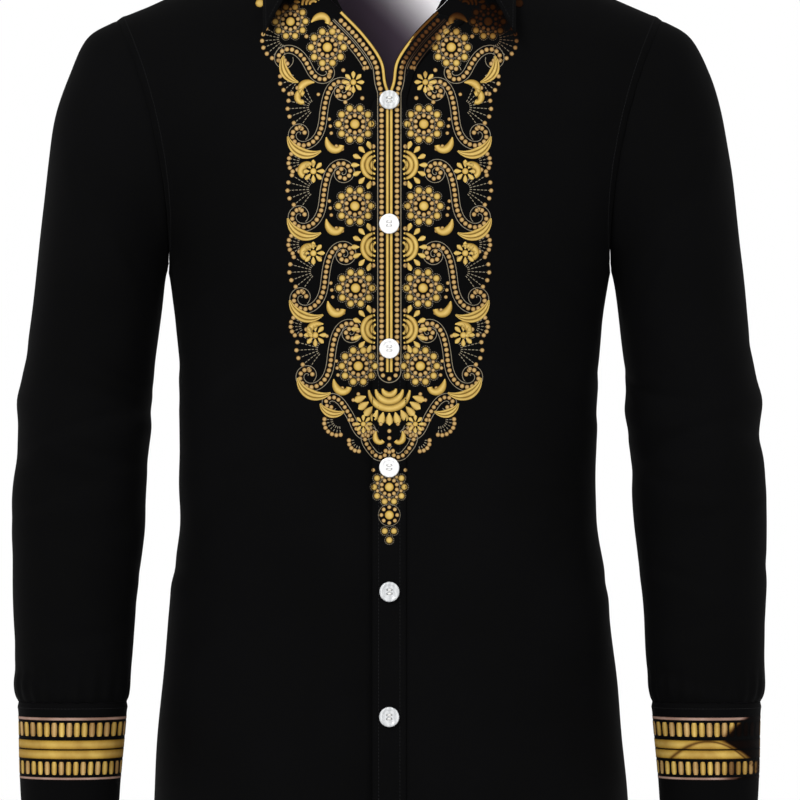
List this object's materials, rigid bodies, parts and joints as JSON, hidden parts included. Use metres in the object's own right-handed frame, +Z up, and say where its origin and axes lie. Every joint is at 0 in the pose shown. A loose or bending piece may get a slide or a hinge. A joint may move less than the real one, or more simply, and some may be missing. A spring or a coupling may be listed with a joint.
{
  "type": "long-sleeve shirt",
  "caption": "Black long-sleeve shirt with a buttoned front, turn-down collar and closed cuffs, filled out as worn with no wearer.",
  "frame": {"origin": "middle of the neck's base, between the shoulders that carry the shirt", "axes": "+Z up, -Y towards the shirt's front, +X towards the wearer's left"},
  "size_m": [0.6035, 0.2513, 0.8163],
  "materials": {
    "black_cotton": "matte woven",
    "pearl_button": "pearl"
  },
  "bodies": {
    "root": {"front_right": "black_cotton", "front_left": "black_cotton", "placket": "black_cotton", "back": "black_cotton", "sleeve_right": "black_cotton", "sleeve_left": "black_cotton", "cuff_right": "black_cotton", "cuff_left": "black_cotton", "collar_stand": "black_cotton", "collar_fall": "black_cotton", "button_1": "pearl_button", "button_2": "pearl_button", "button_3": "pearl_button", "button_4": "pearl_button", "button_5": "pearl_button", "button_6": "pearl_button", "button_stand": "pearl_button", "button_cuff_right": "pearl_button", "button_cuff_left": "pearl_button"}
  },
  "joints": []
}
